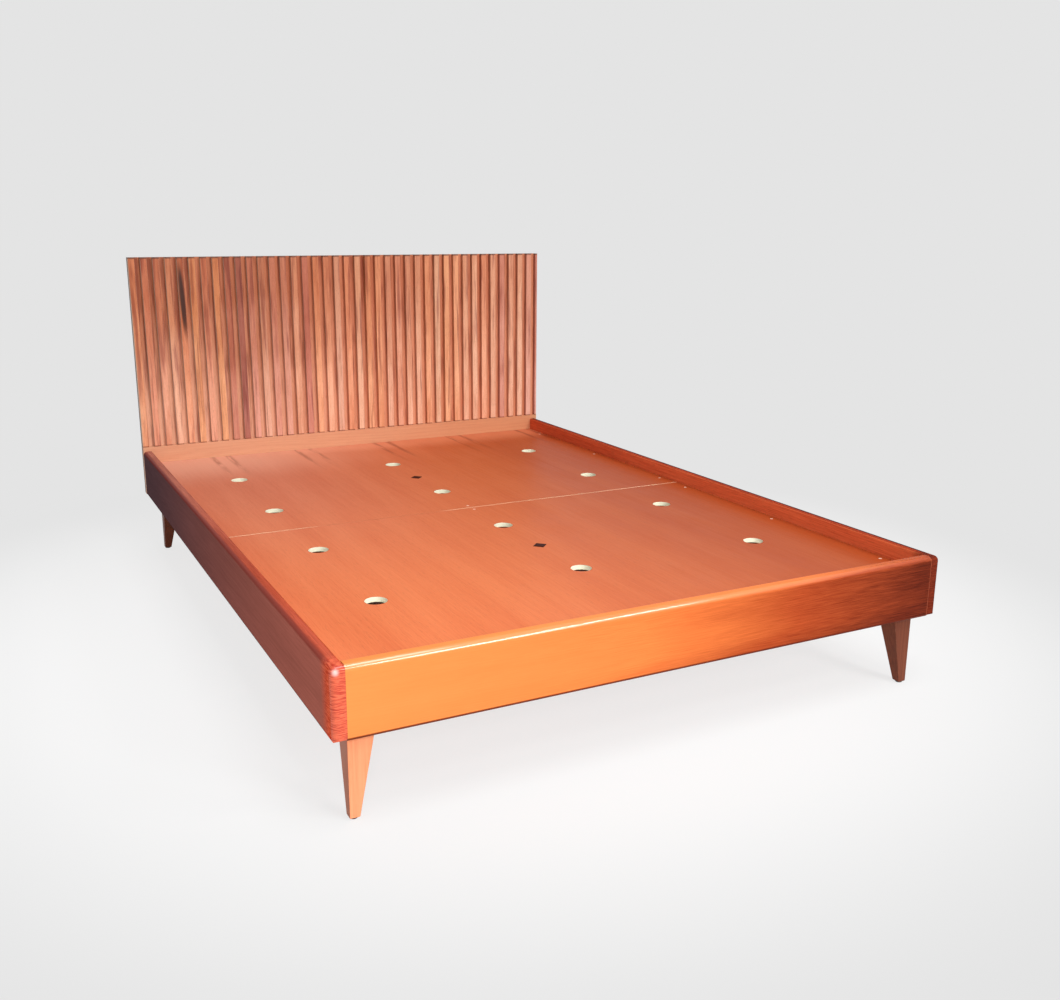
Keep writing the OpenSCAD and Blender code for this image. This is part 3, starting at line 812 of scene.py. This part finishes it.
# %% Tones of the strips
strip = start_wood("slat_wood", "z", {"Rings": 85.0, "Figure": 0.22, "Fibre": 0.95, "Patches": 1.3})
tree = strip["tree"]
from_left = maths(tree, "ADD", strip["xyz"]["X"], half_width + 0.001)
number = maths(tree, "FLOOR", maths(tree, "DIVIDE", from_left, strip_pitch))
chance = put(tree, "TexWhiteNoise", {"W": maths(tree, "ADD", number, 11.5)}, noise_dimensions="1D")
TONES = [
    (0.00, paint(190, 130, 120)),
    (0.10, paint(244, 174, 144)),
    (0.32, paint(255, 206, 174)),
    (0.48, paint(230, 164, 148)),
    (0.62, paint(255, 214, 182)),
    (0.82, paint(255, 186, 150)),
    (1.00, paint(255, 198, 152)),
]
tone = ramp(tree, chance.outputs["Value"], TONES)
along_shift = maths(tree, "MULTIPLY", number, 1.37)
shift = put(tree, "CombineXYZ", {0: along_shift, 1: number, 2: 0.0}).outputs[0]
shifted = put(tree, "VectorMath", {0: strip["turned"], 1: shift}, operation="ADD").outputs[0]
feed(tree, strip["grain"], {
    "Vector": stretched(tree, shifted, (2.4, 1, 1)),
    "Pale": tone,
    "Dark": tinted(tree, tone, paint(230, 208, 197)),
})
print("tones:", len(TONES))

# %% [markdown]
# ### Painted shade and bark on the strips
#
# The strips are painted darker towards the top like the backing, as painted shade. The fifth
# strip has a bark pocket near its top: a ball gradient, leaning a little, squeezed thin across
# and stretched along, draws the dark streak. The mapping that turns comes before the one that
# squeezes, because a ball stays the same when it turns.

# %% The upper tone and the bark pocket
BARK_STRIP = 5
BARK_FROM_EDGE = 0.0101
BARK_BELOW_TOP = 0.135
BARK_HALF_WIDTH = 0.0119
BARK_HALF_LENGTH = 0.161

bark_x = strip_lo.x + (BARK_STRIP - 1) * strip_pitch + BARK_FROM_EDGE
bark_place = Vector((bark_x, 0.0, strip_hi.z - BARK_BELOW_TOP))

# Painted shade: darker towards the top, most at the left.
strip["colour"] = shade_and_smoke(tree, strip, shifted, paint(206, 176, 155))
in_bark = put(tree, "Mapping", {"Vector": strip["vector"], "Location": -bark_place}).outputs[0]
in_bark = put(tree, "Mapping", {
    "Vector": in_bark, "Rotation": (0.0, math.radians(2.0), 0.0),
}).outputs[0]
in_bark = stretched(tree, in_bark, (1 / BARK_HALF_WIDTH, 0.0, 1 / BARK_HALF_LENGTH))
bark = put(tree, "TexGradient", {"Vector": in_bark}, gradient_type="SPHERICAL").outputs["Fac"]
bark = maths(tree, "MULTIPLY", fade(tree, bark, 0.0, 0.6), 0.92)
lay_over(strip, bark, paint(52, 30, 24))
print("the bark pocket is in strip", BARK_STRIP, "at", [round(v, 3) for v in bark_place])

# %% [markdown]
# ### Sawn sides and ends of the strips
#
# The sawn sides of the strips are painted pale at the left, a painted light, and duller towards
# the right, a painted shade. A dark line at both ends of each strip is partly stain and partly
# painted shade, and the tops are painted dark as painted shade.

# %% The sides, the ends and the finish
side_face = fade(tree, maths(tree, "ABSOLUTE", strip["facing"]["X"]), 0.5, 0.9)
# Painted light on the sides at the left, painted shade on them towards the right.
side_light_share = fade(tree, strip["xyz"]["X"], -0.6, 0.2, 0.85, 0.0)
side_light_and_shade = mix(tree, side_light_share, strip["colour"], paint(212, 182, 160))
side_light_and_shade = scaled(tree, side_light_and_shade, fade(tree, strip["xyz"]["X"], -0.6, 0.4, 0.95, 0.75))
lay_over(strip, side_face, side_light_and_shade)

# Dark lines at the strip ends, partly stain and partly painted shade.
upper_line = fade(tree, strip["xyz"]["Z"], strip_hi.z - 0.006, strip_hi.z - 0.003, 0.0, 0.75)
lower_line = fade(tree, strip["xyz"]["Z"], strip_lo.z + 0.002, strip_lo.z + 0.005, 0.75, 0.0)
lay_over(strip, upper_line, paint(92, 56, 44))
lay_over(strip, lower_line, paint(140, 70, 44))
# Painted shade: the tops of the strips are dark.
lay_over(strip, fade(tree, strip["facing"]["Z"], 0.5, 0.9), paint(80, 50, 38))
slat_wood = finish_wood(strip, roughness=0.44, gloss=0.25, wear=0.35, worn=paint(250, 196, 158))
print("made", slat_wood.name)

# %% [markdown]
# ## Legs
#
# The corner legs are cut from the same wood as the foot rail, with the grain upright: bright
# orange at the left of the foot, and painted browner at the right and at the head, as painted
# shade. The left face of the bright one is painted darker, as painted shade.

# %% Finish of the legs
leg = start_wood(
    "leg_wood", "z",
    {"Rings": 150.0, "Figure": 0.2, "Fibre": 0.6, "Patches": 0.4, "Pores": 0.05},
)
tree = leg["tree"]
# Painted shade: browner towards the right and the head.
toward_shade = maths(tree, "MULTIPLY_ADD", leg["xyz"]["Y"], 0.75, leg["xyz"]["X"])
shade_share = fade(tree, toward_shade, -1.3, -0.05)
feed(tree, leg["grain"], {
    "Pale": mix(tree, shade_share, paint(255, 178, 132), paint(136, 74, 50)),
    "Dark": mix(tree, shade_share, paint(252, 150, 104), paint(100, 50, 34)),
})
# Painted shade on the left faces of the bright leg.
shaded_left_face = fade(tree, maths(tree, "MULTIPLY", leg["facing"]["X"], -1.0), 0.4, 0.9)
shaded_left_face = maths(tree, "MULTIPLY", shaded_left_face, maths(tree, "SUBTRACT", 1.0, shade_share))
lay_over(leg, shaded_left_face, tinted(tree, leg["colour"], paint(178, 170, 176)))
leg_wood = finish_wood(leg, roughness=0.42, gloss=0.12, wear=0.4, worn=paint(240, 180, 140))
print("made", leg_wood.name)

# %% [markdown]
# ## Unfinished wood underneath
#
# Ledgers, bearers, blocks and the middle leg are pale softwood straight from the saw, with wide
# rings and no lacquer. They differ only in the way that the grain runs, so one function makes all
# three.

# %% Finishes of the inner wood
def inner_wood(name, along):
    """Pale softwood from the saw, with wide rings."""
    raw = start_wood(name, along, {
        "Pale": paint(226, 188, 138), "Dark": paint(196, 148, 98),
        "Rings": 130.0, "Figure": 0.5, "Fibre": 0.5, "Patches": 0.5,
    })
    return finish_wood(raw, roughness=0.72, wear=0.4, bump=0.7, worn=paint(240, 215, 175))


inner_along = inner_wood("inner_wood_along", "y")
inner_across = inner_wood("inner_wood_across", "x")
inner_upright = inner_wood("inner_wood_upright", "z")

dowel = start_wood("dowel_wood", "x", {
    "Pale": paint(226, 196, 150), "Dark": paint(204, 168, 118),
    "Rings": 200.0, "Figure": 0.2, "Fibre": 0.8, "Patches": 0.3,
})
dowel_wood = finish_wood(dowel, roughness=0.6, wear=0.2)
print("made", inner_along.name, inner_across.name, inner_upright.name, dowel_wood.name)

# %% [markdown]
# ## Metal and nylon
#
# Screws and bolts are zinc plated: bright, with a faint mottle and a fine relief. The heads in the
# deck are filled over with pale putty and show as light dots. The sleeves for the leg bolts are
# brass. The glides under the legs are dark nylon, dull and lightly scuffed.

# %% Finishes of the hardware
def hardware(name, colour, second, metallic, roughness, grain_size):
    """A metal or plastic with a mottled tone, an uneven roughness and a fine relief."""
    material, tree = empty_material(name)
    vector = place_of(tree)[0]
    mottle = noise(tree, vector, grain_size, 4.0)
    fine = noise(tree, vector, grain_size * 9, 2.0)
    relief = put(tree, "Bump", {"Strength": 0.25, "Distance": 0.0002, "Height": fine})
    shader = put(tree, "BsdfPrincipled", {
        "Base Color": mix(tree, fade(tree, mottle, 0.35, 0.65), colour, second),
        "Roughness": fade(tree, fine, 0.3, 0.7, roughness - 0.08, roughness + 0.12),
        "Metallic": metallic, "Normal": relief.outputs[0],
    })
    put(tree, "OutputMaterial", {"Surface": shader.outputs[0]})
    return material


zinc = hardware("screw_steel", paint(222, 222, 218), paint(190, 192, 196), 1.0, 0.32, 300.0)
brass = hardware("insert_brass", paint(224, 190, 110), paint(196, 156, 82), 1.0, 0.35, 260.0)
putty = hardware("screw_putty", paint(255, 226, 208), paint(246, 202, 180), 0.0, 0.5, 300.0)
nylon = hardware("glide_plastic", paint(58, 52, 48), paint(40, 36, 34), 0.0, 0.55, 400.0)
print("made", zinc.name, brass.name, putty.name, nylon.name)

# %% [markdown]
# ## Who wears what
#
# A carried-over solid has one material slot, and the finish goes in there. Names are matched by how
# they start, and the first match counts, so a longer start stands before a shorter one.

# %% Give every solid its finish
FINISHES = [
    ("side_rail", rail_wood),
    ("foot_rail", foot_rail_wood),
    ("head_rail", inner_across),
    ("headboard_backing", backing_wood),
    ("headboard_base_board", base_board_wood),
    ("slats", slat_wood),
    ("deck_panel", deck_wood),
    ("centre_cap", cap_wood),
    ("ledger_foot", inner_across),
    ("ledger_screws", zinc),
    ("ledger", inner_along),
    ("bearer", inner_across),
    ("corner_block", inner_upright),
    ("centre_leg", inner_upright),
    ("leg_glides", nylon),
    ("leg_bolts", zinc),
    ("leg_inserts", brass),
    ("leg", leg_wood),
    ("bed_bolts", zinc),
    ("barrel_nuts", zinc),
    ("rail_dowels", dowel_wood),
    ("deck_screws", putty),
]
worn_finishes = set()
for name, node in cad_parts.items():
    finish = next(material for start, material in FINISHES if name.startswith(start))
    node.data.materials.clear()
    node.data.materials.append(finish)
    worn_finishes.add(finish.name)
print("dressed", len(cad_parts), "solids in", len(worn_finishes), "finishes")

# %% [markdown]
# ## Turned glides
#
# Under each leg sits a nylon glide: a shallow disc with a soft rim, on a pin. Such a thing is
# turned, so it is made the way a lathe does it: half a profile is drawn and spun round its axis.
# The solid's sharp disc is replaced by it, in the same place and at the same size. The pin is
# hidden in the leg, so it isn't drawn.

# %% A helper that turns a glide
def turned_glide(mesh, centre, radius, height):
    """Spins a rounded half profile round the upright line through the centre."""
    rim = height * 0.4
    arc = [
        (radius - rim + rim * math.sin(a), rim - rim * math.cos(a))
        for a in (math.radians(30 * step) for step in range(4))
    ]
    profile = [(0.0, 0.0), *arc, (radius, height), (0.0, height)]
    points = [mesh.verts.new(centre + Vector((r, 0, z))) for r, z in profile]
    edges = [mesh.edges.new(pair) for pair in zip(points, points[1:])]
    bmesh.ops.spin(
        mesh, geom=points + edges, cent=centre, axis=(0, 0, 1), dvec=(0, 0, 0),
        angle=math.tau, steps=32, use_merge=True, use_normal_flip=False, use_duplicate=False,
    )


print("made the helper", turned_glide.__name__)

# %% [markdown]
# A glide stands under each corner leg and under the middle one, and all of them are one mesh. The
# corner ones are as far apart as the solid's box says.

# %% Spin the glides
glide_lo, glide_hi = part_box("leg_glides")
middle_lo, middle_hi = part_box("centre_leg")
glide_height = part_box("leg_foot_left")[0].z
glide_radius = 0.008
glide_mesh = bmesh.new()
corner_x = (glide_lo.x + glide_radius, glide_hi.x - glide_radius)
corner_y = (glide_lo.y + glide_radius, glide_hi.y - glide_radius)
middle = ((middle_lo.x + middle_hi.x) / 2, (middle_lo.y + middle_hi.y) / 2)
for x, y in [(x, y) for x in corner_x for y in corner_y] + [middle]:
    turned_glide(glide_mesh, Vector((x, y, 0)), glide_radius, glide_height)
bmesh.ops.remove_doubles(glide_mesh, verts=glide_mesh.verts, dist=0.00001)
bmesh.ops.recalc_face_normals(glide_mesh, faces=glide_mesh.faces)

glide_data = bpy.data.meshes.new("leg_glides_turned")
glide_mesh.to_mesh(glide_data)
glide_mesh.free()
glide_data.materials.append(nylon)
glide_data.shade_smooth()
glides = bpy.data.objects.new("leg_glides_turned", glide_data)
bpy.context.scene.collection.objects.link(glides)
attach(glides, "root")
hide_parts("leg_glides")
print("glides:", len(glide_data.polygons), "faces")

# %% [markdown]
# ## Floor and backdrop
#
# A plain pale floor keeps the bed's soft shadow. To stay as pale as the backdrop without more
# light on the bed, it glows a little for the rays that see it directly or in a reflection, and
# the more so the further it lies from the bed, until it equals the backdrop. So no horizon shows.
# Right under the bed it doesn't glow at all, so that the vents look down into shade.

# %% A mask for rays that see the studio
def seen_directly(tree):
    """1 for camera, mirror and glass rays, 0 for the light that bounces about."""
    rays = put(tree, "LightPath").outputs
    seen = maths(tree, "ADD", rays["Is Camera Ray"], rays["Is Glossy Ray"], clamp=True)
    return maths(tree, "ADD", seen, rays["Is Transmission Ray"], clamp=True)


BACKDROP = paint(228, 228, 228)
NEAR_FLOOR = paint(253, 253, 253)
print("backdrop is", round(BACKDROP[0], 3), "and the floor by the bed", round(NEAR_FLOOR[0], 3))

# %% Lay the floor
floor_mesh = bmesh.new()
bmesh.ops.create_grid(floor_mesh, x_segments=2, y_segments=2, size=60.0)
floor_data = bpy.data.meshes.new("studio_floor")
floor_mesh.to_mesh(floor_data)
floor_mesh.free()
floor = bpy.data.objects.new("studio_floor", floor_data)
bpy.context.scene.collection.objects.link(floor)

floor_finish, tree = empty_material("studio_floor")
vector, xyz = place_of(tree)
distance = put(tree, "VectorMath", {0: vector}, operation="LENGTH").outputs["Value"]
beside = fade(tree, maths(tree, "ABSOLUTE", xyz["X"]), 0.52, 0.62)
from_middle = maths(tree, "ABSOLUTE", maths(tree, "SUBTRACT", xyz["Y"], 0.15))
in_the_open = maths(tree, "MAXIMUM", beside, fade(tree, from_middle, 0.70, 0.80))
glow_share = fade(tree, distance, 1.0, 2.0, 0.76, 1.0)
glow_share = maths(tree, "MULTIPLY", glow_share, seen_directly(tree))
glow_share = maths(tree, "MULTIPLY", glow_share, in_the_open)
glow_colour = mix(tree, fade(tree, distance, 0.9, 1.9), NEAR_FLOOR, BACKDROP)
matt = put(tree, "BsdfDiffuse", {"Color": (0.86, 0.86, 0.86, 1)}).outputs[0]
glow = put(tree, "Emission", {"Color": glow_colour, "Strength": 1.0}).outputs[0]
both = put(tree, "MixShader", {0: glow_share, 1: matt, 2: glow}).outputs[0]
put(tree, "OutputMaterial", {"Surface": both})
floor_data.materials.append(floor_finish)
print("floor laid,", len(floor_data.polygons), "faces")

# %% [markdown]
# ## Light
#
# The world gives an even fill, and shows the pale backdrop where it is seen. Four soft lamps do
# the rest. A large one far behind the camera lights the fronts, and one overhead lights the deck
# and the strips. A small one by the camera brightens the near corner and makes its glint. The
# last, a long narrow one, hangs at the right of the foot, where its mirror image falls on the
# rounded top of the foot rail and draws the bright line there.

# %% Set the world and the lamps
world = bpy.data.worlds.new("studio")
world.use_nodes = True
bpy.context.scene.world = world
tree = world.node_tree
tree.nodes.clear()
fill = put(tree, "Background", {"Color": WHITE, "Strength": 0.42}).outputs[0]
shown = put(tree, "Background", {"Color": BACKDROP, "Strength": 1.0}).outputs[0]
both = put(tree, "MixShader", {0: seen_directly(tree), 1: fill, 2: shown}).outputs[0]
put(tree, "OutputWorld", {"Surface": both})


def soft_lamp(name, place, aim, width, height, level):
    """An oblong lamp that faces a point and lights it to the given level, 1 being plain white."""
    reach = (Vector(aim) - Vector(place)).length
    lamp = bpy.data.lights.new(name, "AREA")
    lamp.shape = "RECTANGLE"
    lamp.size = width
    lamp.size_y = height
    lamp.energy = level * (math.pi * reach) ** 2
    holder = bpy.data.objects.new(name, lamp)
    bpy.context.scene.collection.objects.link(holder)
    holder.location = place
    holder.rotation_euler = (Vector(aim) - Vector(place)).to_track_quat("-Z", "Y").to_euler()
    print(name, "of", round(lamp.energy), "watts at", round(reach, 2), "metres")


soft_lamp("front_lamp", (2.0, -6.4, 3.2), (0.0, 0.4, 0.5), 1.6, 1.6, 0.25)
soft_lamp("overhead_lamp", (0.0, -2.2, 5.0), (0.0, 0.7, 0.4), 2.6, 2.6, 0.44)
soft_lamp("near_lamp", (-1.45, -3.0, 1.35), (-0.7, -1.0, 0.3), 0.2, 0.2, 0.22)
soft_lamp("glint_lamp", (1.5, -3.0, 2.4), (-0.2, -1.0, 0.3), 0.9, 0.22, 0.22)
